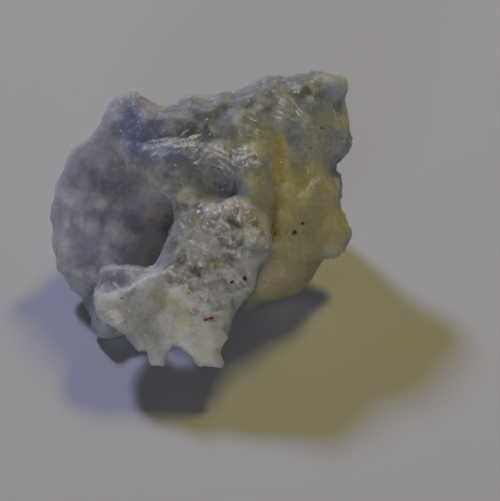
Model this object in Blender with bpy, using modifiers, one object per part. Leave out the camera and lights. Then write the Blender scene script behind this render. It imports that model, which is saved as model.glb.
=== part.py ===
"""Rough chalcedony: one natural stone, about 25 mm across.

The stone is a broken chunk with a hollow on its left. A ridge runs round a pit at its top and down over its
face into a thin plate with two teeth, and it overhangs the hollow. The stone grew in one piece, so it is one
object.

It is carved as two lumps that are then fused: the body, and the ridge with its plate in front of it. A lump is
drawn as a viewer sees it who looks down on the stone at VIEW_ELEVATION: x to the right, y up the viewer's plane
and depth towards the viewer, all in millimetres. It is a slab cut to its outline, whose two sides are then
pressed to smooth reliefs through a few depths, with small lumps and dents on the near side.
"""

import math

import bmesh
import bpy
import numpy as np
from mathutils import Matrix, Vector, noise

MM = 0.001

# The viewer's plane, which the outlines and depths are drawn in, and how high its centre is over the ground.
VIEW_ELEVATION = math.radians(48)
VIEW_DISTANCE = 220.0
PLANE_HEIGHT = 9.6

# Grid steps of the two lumps and of the fused stone, and the size of the finished solid in faces.
LUMP_STEP = 0.35
STONE_STEP = 0.26
MOST_TRIANGLES = 9200

# How far each lump's outline lies behind its near side, and how wide its near and far sides are rounded off.
BODY_ROUNDING = {"edge_drop": 1.3, "face_round": 1.3, "back_round": 5.0}
RIDGE_ROUNDING = {"edge_drop": 0.5, "face_round": 0.7, "back_round": 1.6}

# Knobs of the broken surface: the width of the coarse and the fine ones, and what each adds. KNOB_LEVEL of a
# knob's height stays where the surface was, so that the knobs stand out of it and the creases sink in.
COARSE_WIDTH, COARSE_SHARE = 2.3, 1.2
FINE_WIDTH, FINE_SHARE = 1.2, 0.5
FINE_PLACE = Vector((7.0, 3.0, 1.0))
KNOB_LEVEL = 0.6

# Broad swells under the knobs, which only the far side has.
SWELL_WIDTH, SWELL_SHARE = 4.5, 1.4

# Knob heights on the near and the far side, which starts where the surface's facing falls under FAR_START.
NEAR_KNOB_HEIGHT = 0.14
FAR_KNOB_HEIGHT = 0.85
FAR_START, FAR_END = 0.05, -0.55

# The thin plate in front has low knobs on both sides: they fade out between these places along Y.
PLATE_START, PLATE_END = -2.5, -6.0

# The foot: the knobs fade out over its height, and its lowest bit is cut off flat to rest on.
FOOT_HEIGHT = 2.5
FOOT_SHARE = 0.3
BASE_CUT = 0.55

CHALCEDONY_COLOUR = (0.40, 0.40, 0.43, 1.0)
CHALCEDONY_ROUGHNESS = 0.38

# The body's outline, clockwise from the left edge of the hollow.
BODY_OUTLINE = [
    (-16.9, 3.0), (-16.8, 5.0), (-16.5, 6.1), (-15.9, 6.9), (-15.5, 8.0), (-15.2, 8.7), (-14.4, 9.3),
    (-13.6, 9.9), (-12.7, 11.0), (-11.8, 12.2), (-11.1, 13.1), (-10.4, 13.5), (-9.7, 13.6), (-9.2, 13.1),
    (-8.6, 12.7), (-8.2, 12.2), (-7.4, 12.2), (-6.6, 12.5), (-5.7, 12.9), (-5.1, 13.4), (-4.4, 13.2),
    (-3.6, 13.0), (-2.8, 13.4), (-1.9, 13.7), (-1.0, 13.8), (0.3, 14.4), (0.9, 14.9), (1.6, 15.15),
    (2.3, 14.95), (3.2, 14.85), (4.0, 15.1), (5.0, 15.3), (5.6, 15.6), (6.1, 15.3), (6.8, 15.4),
    (7.5, 15.1), (8.2, 14.7), (8.6, 14.2), (8.4, 13.4), (8.0, 12.5), (7.7, 12.1), (8.2, 11.6),
    (8.6, 10.6), (8.75, 9.6), (8.75, 8.8), (8.3, 8.1), (7.6, 7.4), (7.4, 6.8), (7.8, 6.2), (8.0, 5.3),
    (7.8, 4.3), (7.6, 3.5), (7.8, 2.9), (8.3, 2.2), (8.35, 1.4), (8.0, 0.6), (7.1, 0.0), (6.3, -0.9),
    (5.6, -2.1), (4.8, -3.0), (4.0, -3.8), (2.8, -4.1), (1.4, -4.4), (0.2, -5.2), (-1.4, -5.9),
    (-4.0, -6.3), (-7.0, -6.6), (-10.0, -7.1), (-11.4, -7.5), (-12.5, -7.6), (-13.1, -7.3),
    (-13.5, -6.5), (-13.7, -5.5), (-14.3, -4.4), (-14.9, -3.5), (-15.4, -2.7), (-16.1, -2.0),
    (-16.7, -1.0), (-16.9, 1.0),
]

# Depths on the body's near side: the rim, the hollow, the upper band, the pit, and the stained right flank.
BODY_FACE = [
    (-16.8, 3.0, -6.3), (-16.2, 6.0, -6.0), (-15.3, 8.3, -5.6), (-13.3, 10.0, -5.0), (-11.6, 12.0, -4.3),
    (-10.0, 13.0, -3.8), (-8.4, 12.2, -3.0), (-7.0, 12.0, -2.7), (-5.0, 12.9, -3.2), (-2.0, 13.5, -3.6),
    (1.5, 14.8, -4.4), (5.5, 15.3, -5.2), (8.2, 14.4, -6.0), (7.7, 12.1, -6.2), (8.5, 9.8, -5.8),
    (7.4, 6.9, -6.6), (7.9, 5.2, -5.8), (7.6, 3.4, -6.8), (8.2, 1.8, -6.6), (6.6, -0.6, -7.4),
    (5.2, -2.6, -7.7), (3.2, -3.9, -7.6), (1.3, -4.4, -7.2), (-1.0, -5.6, -6.8), (-6.0, -6.2, -6.0),
    (-12.5, -7.2, -4.8), (-13.5, -5.6, -5.4), (-14.6, -3.6, -7.2), (-16.2, -1.6, -7.0), (-16.8, 0.5, -6.7),
    (-15.3, 4.6, -6.7), (-13.0, 4.0, -7.6), (-14.5, 1.0, -7.5), (-12.0, 1.0, -8.0), (-12.0, 6.0, -7.4),
    (-10.0, 4.0, -9.2), (-9.0, 2.5, -10.2), (-8.5, 4.5, -9.8), (-7.0, 2.5, -10.2), (-5.0, 2.5, -9.0),
    (-9.5, -0.3, -7.6), (-12.0, -1.5, -6.8), (-14.5, -1.5, -7.1), (-13.5, 7.6, -6.2), (-12.3, 9.8, -4.6),
    (-10.8, 7.0, -7.2), (-9.0, 6.2, -8.0), (-6.8, 5.6, -8.4), (-10.0, 11.0, -2.9), (-8.0, 10.6, -1.9),
    (-6.0, 10.8, -1.6), (-3.0, 11.2, -1.7), (0.0, 11.8, -2.1), (3.0, 12.2, -2.8), (6.0, 12.7, -4.4),
    (-2.0, 12.6, -2.8), (2.0, 13.6, -3.4), (5.0, 14.2, -4.4), (-9.5, 9.4, -2.3), (-5.0, 9.2, -1.5),
    (-1.0, 9.2, -1.5), (2.6, 9.4, -1.9), (4.6, 9.6, -2.6), (7.0, 10.0, -4.4), (3.0, 7.2, -1.8),
    (5.4, 6.6, -3.0), (3.4, 4.4, -2.3), (6.6, 3.0, -5.0), (2.6, 2.4, -2.7), (4.8, 1.0, -4.6),
    (2.2, 0.0, -3.8), (3.0, -1.4, -5.2), (4.5, -1.5, -6.4), (1.4, -2.6, -5.8), (-3.0, 5.0, -5.5),
    (-3.0, 0.0, -6.5), (-5.0, -3.0, -6.0), (-9.0, -3.5, -5.6), (-11.0, -5.5, -5.0),
]

# Depths on the body's far side, which turns under to the resting spot.
BODY_BACK = [
    (-2.8, -0.5, -13.3), (-2.8, -3.2, -10.4), (-3.0, 2.0, -15.0), (-4.0, 5.0, -16.2), (-9.0, -1.0, -10.9),
    (2.6, -0.8, -11.1), (4.8, 0.4, -10.6), (-4.0, -5.0, -7.6), (2.0, -3.0, -8.8), (-12.6, -1.0, -9.2),
    (-11.0, -5.0, -6.9), (-5.5, 8.0, -14.8), (-3.0, 11.0, -12.6), (1.5, 5.6, -15.8), (4.0, 9.6, -14.2),
    (6.3, 12.6, -10.4), (7.0, 5.4, -11.4), (-9.6, 4.6, -13.6), (-13.6, 3.2, -10.0), (-12.0, 8.2, -9.8),
    (-9.0, 11.0, -8.2), (-15.2, 0.0, -9.2), (0.0, 12.8, -9.0), (-6.0, 11.6, -9.4), (-6.0, -6.2, -6.8),
    (-13.0, -6.6, -5.6), (3.0, 13.6, -8.4), (7.2, 8.6, -10.6),
]

# Small lumps on the body's near side: place, radius and height. A negative height is a dent.
BODY_LUMPS = [
    # The hollow's floor
    (-14.8, 4.6, 1.2, 0.79), (-13.8, 5.9, 1.0, 0.53), (-12.3, 4.2, 1.2, 0.79), (-13.3, 2.4, 1.3, 0.79),
    (-11.0, 1.9, 1.2, 0.79), (-12.3, 0.9, 1.0, 0.61), (-15.3, 1.0, 1.2, 0.70), (-8.7, 0.7, 1.2, 0.75),
    (-9.7, -0.7, 1.1, 0.75), (-11.8, -0.6, 1.0, 0.55), (-13.3, -1.9, 1.2, 0.60), (-15.0, -1.6, 1.0, 0.61),
    (-10.9, 4.6, 1.1, 0.53), (-15.8, 2.9, 1.0, 0.61), (-12.2, 7.2, 1.2, 0.53), (-12.6, -6.6, 1.2, 0.79),
    # The upper band, from left to right
    (-10.2, 12.5, 1.3, 0.77), (-11.8, 10.7, 1.3, 0.56), (-8.8, 11.5, 1.1, 0.63), (-7.0, 11.2, 1.1, 0.63),
    (-5.0, 12.4, 1.1, 0.77), (-5.4, 11.0, 1.0, 0.56), (-3.7, 11.8, 1.1, 0.63), (-2.4, 12.9, 1.2, 0.70),
    (-1.0, 11.3, 1.0, 0.77), (-0.8, 12.7, 1.0, 0.49), (0.2, 13.3, 1.0, 0.63), (1.6, 14.2, 1.2, 0.84),
    (1.1, 12.4, 1.0, 0.63), (2.9, 12.7, 1.1, 0.84), (3.5, 11.6, 1.0, 0.70), (1.9, 11.2, 0.9, 0.49),
    (4.2, 14.0, 1.2, 0.70), (5.5, 14.5, 1.2, 0.77), (5.5, 12.6, 1.3, 0.70), (7.2, 14.0, 1.4, 0.77),
    (7.0, 12.2, 1.0, 0.49), (4.7, 10.5, 1.2, 0.63), (6.4, 10.7, 1.1, 0.56), (7.9, 10.5, 1.1, 0.70),
    (7.7, 9.0, 1.2, 0.63), (5.4, 8.8, 1.4, 0.56), (2.7, 10.6, 0.9, 0.63),
    # The stained flank
    (5.6, 6.3, 1.3, 0.77), (4.9, 4.8, 1.2, 0.70), (6.9, 5.2, 1.1, 0.56), (3.3, 5.6, 1.2, 0.63),
    (3.1, 3.3, 1.2, 0.49), (7.3, 2.0, 1.3, 0.70), (5.2, 2.7, 1.2, -0.49), (4.9, 0.2, 1.1, 0.56),
    (2.6, 0.6, 1.1, 0.56), (6.3, 0.2, 1.0, 0.49), (4.4, -1.7, 1.1, 0.56), (2.4, -1.8, 1.2, 0.56),
    (1.9, -3.3, 1.1, 0.49), (3.4, 7.8, 1.2, 0.42), (2.5, 8.0, 0.8, -0.49),
]

# The ridge with its plate: its crest over the hollow, the ledge, the two teeth, then up the right flank.
RIDGE_OUTLINE = [
    (-13.2, 10.5), (-12.2, 9.2), (-11.3, 8.4), (-10.6, 7.8), (-9.8, 7.2), (-9.2, 6.6), (-8.6, 6.1),
    (-7.8, 5.4), (-7.1, 5.1), (-6.9, 4.5), (-6.6, 3.8), (-6.35, 3.1), (-6.4, 2.3), (-6.7, 1.3), (-7.2, 0.6),
    (-7.5, 0.0), (-7.7, -0.7), (-7.8, -1.3), (-8.8, -1.35), (-10.4, -1.25), (-12.2, -1.25), (-12.7, -1.8),
    (-13.1, -2.9), (-13.4, -4.0), (-13.4, -5.1), (-12.9, -5.9), (-12.1, -6.3), (-11.3, -6.7),
    (-10.6, -7.3), (-10.0, -8.1), (-9.5, -8.8), (-8.8, -9.0), (-8.3, -9.1), (-8.2, -9.7), (-7.5, -9.8),
    (-7.1, -9.7), (-7.0, -9.0), (-6.7, -8.4), (-6.2, -8.15), (-5.5, -8.5), (-4.9, -9.1), (-4.3, -9.7),
    (-3.5, -10.0), (-2.6, -10.0), (-2.1, -9.7), (-2.45, -8.8), (-2.1, -7.8), (-1.7, -7.1), (-1.4, -6.7),
    (-1.7, -6.0), (-1.1, -5.0), (-0.5, -4.3), (0.2, -3.7), (0.55, -3.0), (0.65, -2.1), (0.9, -1.3),
    (1.5, -0.5), (1.8, 0.3), (1.7, 1.5), (1.8, 2.7), (2.6, 4.0), (3.2, 6.0), (3.2, 8.4), (2.4, 10.0),
    (0.5, 10.8), (-2.5, 10.8), (-5.5, 10.8), (-8.5, 10.9), (-10.8, 10.6),
]

# Depths on the ridge's near side. The pit lies between its two arms, and its top sinks into the upper band.
RIDGE_FACE = [
    (-3.0, 2.0, 0.7), (-1.0, 2.5, 0.6), (0.8, 1.5, 0.3), (-4.8, 2.0, 0.2), (-6.0, 2.6, -0.3),
    (-6.9, 0.6, -0.6), (-5.5, 0.0, 0.3), (-3.0, 0.0, 0.6), (0.0, 0.0, 0.5), (1.4, 0.0, 0.1),
    (-2.0, -2.2, 0.4), (0.2, -2.4, 0.1), (-5.0, -2.5, 0.6), (-7.4, -1.4, -0.2), (-8.3, -2.3, 0.1),
    (-9.8, -3.0, -0.1), (-11.2, -3.8, -0.4), (-12.6, -4.3, -0.8), (-9.5, -1.8, -1.3), (-11.0, -2.1, -1.8),
    (-12.3, -2.3, -2.3), (-12.9, -3.4, -2.0), (-11.6, -3.1, -1.7), (-7.0, -4.5, 0.3), (-9.0, -5.0, 0.1),
    (-11.5, -5.5, -0.5), (-10.0, -6.5, -0.2), (-8.0, -7.0, 0.1), (-5.0, -6.0, 0.4), (-3.0, -5.0, 0.4),
    (-1.2, -5.6, 0.0), (-4.0, -8.0, 0.1), (-2.7, -8.5, 0.2), (-3.0, -9.8, 0.0), (-7.6, -9.3, 0.0),
    (-6.2, -8.0, 0.1), (-9.2, -8.5, -0.2), (-6.6, 4.8, -0.9), (-5.6, 5.2, -0.8), (-8.0, 6.1, -1.4),
    (-7.0, 7.0, -1.0), (-9.8, 7.6, -2.1), (-6.3, 8.6, -0.9), (-9.0, 8.8, -1.9), (-11.1, 8.9, -3.2),
    (-12.6, 10.0, -5.3), (-1.6, 4.2, 0.1), (-2.8, 3.9, -0.1), (-0.6, 4.4, -0.1), (-0.7, 5.6, -0.6),
    (0.6, 5.4, -0.5), (0.9, 6.8, -0.9), (-1.2, 6.7, -0.7), (0.6, 8.4, -1.0), (-1.4, 7.9, -0.8),
    (-3.0, 7.7, -0.7),
    (-2.8, 8.9, -1.0), (-4.6, 8.1, -0.9), (-2.0, 5.6, -3.6), (-2.9, 6.4, -3.0), (-2.6, 4.9, -3.0),
    (-3.8, 6.8, -2.2), (-3.6, 4.8, -1.8), (-4.2, 5.8, -2.0), (-5.2, 6.6, -1.3), (-4.8, 4.6, -0.9),
    (1.8, 5.5, -1.2), (1.9, 7.5, -1.4), (1.5, 3.4, -0.8), (3.0, 6.0, -2.8), (3.0, 8.2, -3.2),
    (2.4, 4.0, -2.6), (-6.0, 10.4, -3.0), (-9.0, 10.4, -4.2), (-2.0, 10.4, -3.0), (1.5, 9.8, -2.9),
    (-11.0, 10.4, -4.4),
]

# Depths on the ridge's far side: the plate's underside and the roof over the hollow.
RIDGE_BACK = [
    (-3.0, -9.8, -1.2), (-7.6, -9.3, -1.3), (-9.2, -8.5, -1.6), (-6.2, -8.0, -1.7), (-12.9, -5.0, -2.6),
    (-10.0, -6.5, -2.4), (-8.0, -6.0, -3.0), (-5.0, -6.0, -3.8), (-2.0, -6.0, -2.4), (-3.0, -3.0, -6.5),
    (0.0, -3.0, -4.0), (1.5, 0.5, -5.0), (-3.0, 1.0, -8.0), (-6.5, 2.6, -2.8), (-7.2, 0.3, -3.0),
    (-5.0, 2.0, -5.5), (-7.7, -1.2, -3.4), (-10.0, -2.0, -4.6), (-12.3, -2.0, -4.2), (-6.9, 4.9, -3.0),
    (-8.0, 6.0, -3.6), (-10.0, 8.0, -4.6), (-6.0, 8.0, -5.5), (-4.5, 5.5, -6.0), (1.8, 4.5, -5.0),
    (-2.0, 5.0, -7.0), (1.5, 9.0, -5.0), (-5.0, 10.4, -5.0), (-10.5, 10.3, -6.4),
]

RIDGE_LUMPS = [
    # The crumpled crest, from its top down
    (-1.8, 3.6, 0.9, 0.68), (-3.5, 3.0, 0.9, 0.60), (-0.5, 3.2, 0.8, 0.52), (0.3, 2.3, 0.8, 0.52),
    (-1.3, 2.7, 0.7, -0.52), (-2.3, 2.4, 0.8, 0.60), (-3.3, 1.6, 0.9, 0.60), (-1.6, 1.4, 0.8, 0.52),
    (0.3, 1.0, 0.9, 0.60), (-2.7, 0.6, 0.8, 0.60), (-5.4, 2.4, 0.9, 0.60), (-4.7, 1.3, 0.8, 0.52),
    (-5.3, 0.4, 0.8, 0.52), (-3.9, 0.2, 0.8, 0.68), (-1.1, 0.4, 0.8, 0.52), (-2.4, -0.5, 0.9, -0.60),
    (-0.4, -0.6, 0.9, 0.45), (-1.7, -1.4, 0.9, 0.68), (-4.3, -0.9, 0.8, 0.52), (-6.2, -0.4, 0.9, 0.52),
    (-6.7, -1.7, 0.7, 0.52), (-3.4, -2.0, 0.9, 0.52), (-5.2, -2.2, 0.8, 0.68), (-0.3, -1.9, 0.8, 0.45),
    (-2.6, -3.5, 1.3, 0.68), (-4.5, -3.8, 0.8, 0.52), (-0.7, -3.2, 0.8, 0.52), (-6.2, -3.2, 0.7, 0.45),
    # The arms round the pit
    (-7.0, 9.2, 0.9, 0.52), (-5.0, 9.0, 0.9, 0.52), (-8.9, 8.4, 1.0, 0.45), (-7.6, 7.6, 1.1, 0.52),
    (-6.0, 6.8, 1.0, 0.45), (-7.0, 5.8, 0.8, 0.45), (-5.4, 5.2, 0.9, 0.45), (-2.5, 8.7, 0.9, 0.60),
    (-0.2, 8.5, 0.9, 0.60), (0.6, 7.4, 0.8, 0.52), (-1.0, 7.3, 0.7, 0.45), (0.2, 5.5, 1.0, 0.52),
    (1.2, 4.6, 0.9, 0.45), (-4.6, 4.1, 0.9, 0.45), (-10.4, 8.8, 1.0, 0.45),
    # The plate
    (-9.2, -3.6, 1.7, 0.52), (-11.8, -4.7, 1.1, 0.52), (-11.5, -5.9, 0.8, 0.52), (-7.6, -5.4, 1.9, 0.30),
    (-5.1, -5.9, 1.2, 0.35), (-3.2, -7.2, 1.4, 0.25), (-9.0, -7.3, 0.9, 0.20), (-10.4, -1.9, 1.1, 0.45),
    (-4.2, -6.8, 0.9, -0.20),
]


def relief(depths, softness=0.9):
    """A function that gives the depth at any place, on a smooth surface through the given depths."""
    points = np.array(depths)
    spots, values = points[:, :2], points[:, 2]
    middle = values.mean()
    spacing = np.linalg.norm(spots[:, None] - spots[None], axis=2)
    weights = np.linalg.solve(np.hypot(spacing, softness), values - middle)

    def depth_at(places):
        reach = np.linalg.norm(places[:, None] - spots[None], axis=2)
        return np.hypot(reach, softness) @ weights + middle

    return depth_at


def lump_height(lumps, places):
    """The height that the small lumps add at each place."""
    spots = np.array(lumps)
    reach = np.linalg.norm(places[:, None] - spots[None, :, :2], axis=2) / spots[:, 2]
    return (spots[:, 3] * np.clip(1 - reach**2, 0, None) ** 2).sum(axis=1)


def distance_inside(outline, places):
    """How far each place lies from the outline."""
    start = np.array(outline)
    along = np.roll(start, -1, axis=0) - start
    offset = places[:, None] - start[None]
    share = np.clip((offset * along).sum(axis=2) / (along**2).sum(axis=1), 0, 1)
    return np.linalg.norm(offset - share[..., None] * along, axis=2).min(axis=1)


def rounded(distance, radius):
    """Rises from 0 at the outline to 1 at the radius, as a quarter circle does."""
    return np.sqrt(1 - (1 - np.clip(distance / radius, 0, 1)) ** 2)


def into_world(places, depth):
    """Puts points of the viewer's plane into the world, drawing what lies further back larger."""
    spread = 1 - depth / VIEW_DISTANCE
    right = places[:, 0] * spread
    up = places[:, 1] * spread
    sine, cosine = math.sin(VIEW_ELEVATION), math.cos(VIEW_ELEVATION)
    back = up * sine - depth * cosine
    height = up * cosine + depth * sine + PLANE_HEIGHT
    return np.stack([right, back, height], axis=1)


def points_of(piece):
    """The piece's vertices, one row each."""
    points = np.empty(len(piece.data.vertices) * 3, np.float32)
    piece.data.vertices.foreach_get("co", points)
    return points.reshape(-1, 3).astype(float)


def move_points(piece, points):
    piece.data.vertices.foreach_set("co", points.astype(np.float32).ravel())
    piece.data.update()


def evaluated_copy(source, name):
    """A plain mesh object with the source's modifiers applied, in place of the source."""
    graph = bpy.context.evaluated_depsgraph_get()
    mesh = bpy.data.meshes.new_from_object(source.evaluated_get(graph))
    bpy.data.objects.remove(source)
    copy = bpy.data.objects.new(name, mesh)
    bpy.context.scene.collection.objects.link(copy)
    bpy.context.view_layer.update()
    return copy


def with_modifier(piece, kind, **settings):
    """The piece with one modifier applied."""
    modifier = piece.modifiers.new(kind.lower(), kind)
    for setting, value in settings.items():
        setattr(modifier, setting, value)
    return evaluated_copy(piece, piece.name)


def outline_slab(name, outline):
    """A slab 2 mm thick, cut to the outline, with even faces."""
    curve = bpy.data.curves.new(name, "CURVE")
    curve.dimensions = "2D"
    curve.fill_mode = "BOTH"
    curve.extrude = 1.0
    spline = curve.splines.new("POLY")
    spline.points.add(len(outline) - 1)
    for point, (x, y) in zip(spline.points, outline):
        point.co = (x, y, 0, 1)
    spline.use_cyclic_u = True
    slab = bpy.data.objects.new(name, curve)
    bpy.context.scene.collection.objects.link(slab)
    bpy.context.view_layer.update()
    slab = evaluated_copy(slab, name)
    mesh = bmesh.new()
    mesh.from_mesh(slab.data)
    bmesh.ops.remove_doubles(mesh, verts=mesh.verts, dist=0.0001)
    mesh.to_mesh(slab.data)
    mesh.free()
    return with_modifier(slab, "REMESH", mode="VOXEL", voxel_size=LUMP_STEP)


def carve_lump(name, outline, face, back, lumps, edge_drop, face_round, back_round):
    """Presses a slab to its two reliefs, rounded off towards the outline, edge_drop behind the near side."""
    lump = outline_slab(name, outline)
    points = points_of(lump)
    places, side = points[:, :2], np.clip(points[:, 2], -1, 1)
    inside = distance_inside(outline, places)
    face_depth = relief(face)(places) + lump_height(lumps, places)
    rim_depth = face_depth - edge_drop
    back_depth = np.minimum(relief(back)(places), rim_depth - edge_drop)
    front = (face_depth - rim_depth) * rounded(inside, face_round)
    rear = (rim_depth - back_depth) * rounded(inside, back_round)
    depth = rim_depth + np.where(side > 0, front, rear) * side
    move_points(lump, into_world(places, depth))
    return lump


def fuse(pieces, name):
    """One closed mesh in place of the overlapping pieces."""
    mesh = bmesh.new()
    for piece in pieces:
        mesh.from_mesh(piece.data)
        bpy.data.objects.remove(piece)
    whole = bpy.data.objects.new(name, bpy.data.meshes.new(name))
    mesh.to_mesh(whole.data)
    mesh.free()
    bpy.context.scene.collection.objects.link(whole)
    return with_modifier(whole, "REMESH", mode="VOXEL", voxel_size=STONE_STEP)


def share_between(start, end, value):
    """0 before the start, 1 past the end, and evenly from one to the other between them."""
    return min(1.0, max(0.0, (value - start) / (end - start)))


def knob(point, width):
    """Rounded knobs with sharp creases between them, from 0 in a crease to 1 on a knob."""
    distances, _ = noise.voronoi(point / width)
    return 1 - min(distances[0], 1.0) ** 2


def roughen(stone):
    """The stone broken up into knobs, low on the near side, which the landmarks already shape."""
    stone = with_modifier(stone, "SMOOTH", factor=0.5, iterations=1)
    towards_viewer = Vector((0, -math.cos(VIEW_ELEVATION), math.sin(VIEW_ELEVATION)))
    moved = []
    for vertex in stone.data.vertices:
        point = vertex.co
        far_share = share_between(FAR_START, FAR_END, vertex.normal.dot(towards_viewer))
        plate_share = share_between(PLATE_START, PLATE_END, point.y)
        height = NEAR_KNOB_HEIGHT + (FAR_KNOB_HEIGHT - NEAR_KNOB_HEIGHT) * far_share * (1 - plate_share)
        height *= max(FOOT_SHARE, share_between(0, FOOT_HEIGHT, point.z))
        coarse = COARSE_SHARE * (knob(point, COARSE_WIDTH) - KNOB_LEVEL)
        fine = FINE_SHARE * (knob(point + FINE_PLACE, FINE_WIDTH) - KNOB_LEVEL)
        swell = SWELL_SHARE * noise.noise(point / SWELL_WIDTH) * far_share
        moved.append(point + vertex.normal * height * (coarse + fine + swell))
    move_points(stone, np.array(moved))
    return with_modifier(stone, "REMESH", mode="VOXEL", voxel_size=STONE_STEP)


def flatten_base(stone):
    """Cuts the lowest bit off flat, which is what the stone rests on."""
    mesh = bmesh.new()
    mesh.from_mesh(stone.data)
    lowest = min(vertex.co.z for vertex in mesh.verts)
    everything = mesh.verts[:] + mesh.edges[:] + mesh.faces[:]
    cut = bmesh.ops.bisect_plane(
        mesh, geom=everything, plane_co=(0, 0, lowest + BASE_CUT), plane_no=(0, 0, -1), clear_outer=True
    )
    rim = [item for item in cut["geom_cut"] if isinstance(item, bmesh.types.BMEdge)]
    bmesh.ops.holes_fill(mesh, edges=rim)
    bmesh.ops.triangulate(mesh, faces=[face for face in mesh.faces if len(face.verts) > 3])
    mesh.to_mesh(stone.data)
    mesh.free()


def centre_over_origin(stone):
    """Puts the middle of the stone's box over the origin, with its base at height 0."""
    points = points_of(stone)
    low, high = points.min(axis=0), points.max(axis=0)
    shift = Vector((-(low[0] + high[0]) / 2, -(low[1] + high[1]) / 2, -low[2]))
    stone.data.transform(Matrix.Translation(shift))
    return shift


def chalcedony_material():
    material = bpy.data.materials.new("translucent_chalcedony")
    material.use_nodes = True
    shader = material.node_tree.nodes["Principled BSDF"]
    shader.inputs["Base Color"].default_value = CHALCEDONY_COLOUR
    shader.inputs["Roughness"].default_value = CHALCEDONY_ROUGHNESS
    shader.inputs["Metallic"].default_value = 0.0
    return material


def build():
    for thing in list(bpy.data.objects):
        bpy.data.objects.remove(thing)
    body = carve_lump("body", BODY_OUTLINE, BODY_FACE, BODY_BACK, BODY_LUMPS, **BODY_ROUNDING)
    ridge = carve_lump("ridge", RIDGE_OUTLINE, RIDGE_FACE, RIDGE_BACK, RIDGE_LUMPS, **RIDGE_ROUNDING)
    stone = fuse([body, ridge], "chalcedony")
    stone = roughen(stone)
    triangles = 2 * len(stone.data.polygons)
    stone = with_modifier(stone, "DECIMATE", ratio=MOST_TRIANGLES / triangles)
    flatten_base(stone)
    shift = centre_over_origin(stone)
    stone.data.transform(Matrix.Scale(MM, 4))
    stone.data.materials.append(chalcedony_material())
    stone.data.shade_smooth()
    collection = bpy.data.collections.new("rough_chalcedony")
    bpy.context.scene.collection.children.link(collection)
    collection.objects.link(stone)
    bpy.context.scene.collection.objects.unlink(stone)
    return stone, shift


build()
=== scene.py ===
# %% [markdown]
# # A piece of rough chalcedony
# Chalcedony is quartz in fibres too fine to see, so it is milky and lets light through at its thin edges.
# This piece is broken, not cut: it has lumpy skin, scooped glassy breaks, a hollow on its left and a thin
# toothed plate in front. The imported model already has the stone's main forms. This script puts the fine
# surface, the material and the light on it.

import math

import bmesh
import bpy
import numpy as np
from mathutils import Matrix, Vector, noise
from mathutils.bvhtree import BVHTree


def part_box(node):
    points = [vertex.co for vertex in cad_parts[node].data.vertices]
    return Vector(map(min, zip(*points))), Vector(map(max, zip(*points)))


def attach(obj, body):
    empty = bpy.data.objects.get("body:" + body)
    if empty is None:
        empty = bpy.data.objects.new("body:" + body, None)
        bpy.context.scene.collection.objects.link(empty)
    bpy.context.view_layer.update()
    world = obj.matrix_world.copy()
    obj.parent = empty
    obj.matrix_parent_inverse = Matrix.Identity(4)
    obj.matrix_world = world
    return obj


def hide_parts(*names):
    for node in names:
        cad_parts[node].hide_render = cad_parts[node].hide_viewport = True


MM = 0.001

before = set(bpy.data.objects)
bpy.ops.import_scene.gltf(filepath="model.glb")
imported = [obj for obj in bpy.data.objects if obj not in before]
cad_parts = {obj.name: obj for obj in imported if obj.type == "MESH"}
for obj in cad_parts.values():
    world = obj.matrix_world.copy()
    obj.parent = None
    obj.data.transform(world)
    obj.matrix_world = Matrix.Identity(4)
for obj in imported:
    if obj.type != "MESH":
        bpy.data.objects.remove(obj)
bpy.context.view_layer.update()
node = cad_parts["chalcedony"]
lowest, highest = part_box("chalcedony")
print("stone, mm:", [round(side / MM, 1) for side in highest - lowest])

# %% [markdown]
# ## The view
# The photograph looks down on the stone at 48 degrees from about 220 mm away, and spans 42.5 mm at the
# stone. The camera could be turned with a constraint. Plain vectors are used, because the same ones then
# find places.

# %% The camera
ELEVATION = math.radians(48)
CAMERA_DISTANCE = 220.0
PICTURE_WIDTH = 42.5
SENSOR_WIDTH = 36
AIM = Vector((4.29, -5.32, 9.82))

RIGHT = Vector((1, 0, 0))
UP = Vector((0, math.sin(ELEVATION), math.cos(ELEVATION)))
TOWARDS = Vector((0, -math.cos(ELEVATION), math.sin(ELEVATION)))
EYE = AIM + TOWARDS * CAMERA_DISTANCE

lens = bpy.data.cameras.new("camera")
lens.sensor_width = SENSOR_WIDTH
lens.lens = SENSOR_WIDTH * CAMERA_DISTANCE / PICTURE_WIDTH
lens.clip_start = 0.01
camera = bpy.data.objects.new("camera", lens)
camera.location = EYE * MM
camera.rotation_euler = (math.pi / 2 - ELEVATION, 0, 0)
bpy.context.scene.collection.objects.link(camera)
bpy.context.scene.camera = camera
print("lens, mm:", round(lens.lens, 1))

# %% [markdown]
# ## Places
# A mark of the real stone could be placed by trial in the viewport. Here every place is read off the
# photograph instead: millimetres to the right and up from the middle of the picture. One function finds
# the point of the stone that is seen there, so a mark sits on the surface, whichever side it is looked at
# from.

# %% A copy of the stone in millimetres
WELD = 0.002

def welded_copy(source, name):
    """A copy of the node's mesh in millimetres, with its loose triangles joined."""
    mesh = source.data.copy()
    mesh.transform(Matrix.Scale(1 / MM, 4))
    mesh.materials.clear()
    work = bmesh.new()
    work.from_mesh(mesh)
    bmesh.ops.remove_doubles(work, verts=work.verts, dist=WELD)
    work.to_mesh(mesh)
    work.free()
    copy = bpy.data.objects.new(name, mesh)
    bpy.context.scene.collection.objects.link(copy)
    return copy


def tree_of(piece):
    """The surface of the piece, for rays to hit."""
    work = bmesh.new()
    work.from_mesh(piece.data)
    tree = BVHTree.FromBMesh(work)
    work.free()
    return tree


stone = welded_copy(node, "chalcedony_surface")
SURFACE = tree_of(stone)
print("welded:", len(stone.data.vertices), "points")

# %% Places in the view
def seen(right, up):
    """The point of the stone that is seen at this place of the view."""
    place = AIM + RIGHT * right + UP * up
    return np.array(SURFACE.ray_cast(EYE, (place - EYE).normalized())[0])


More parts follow.
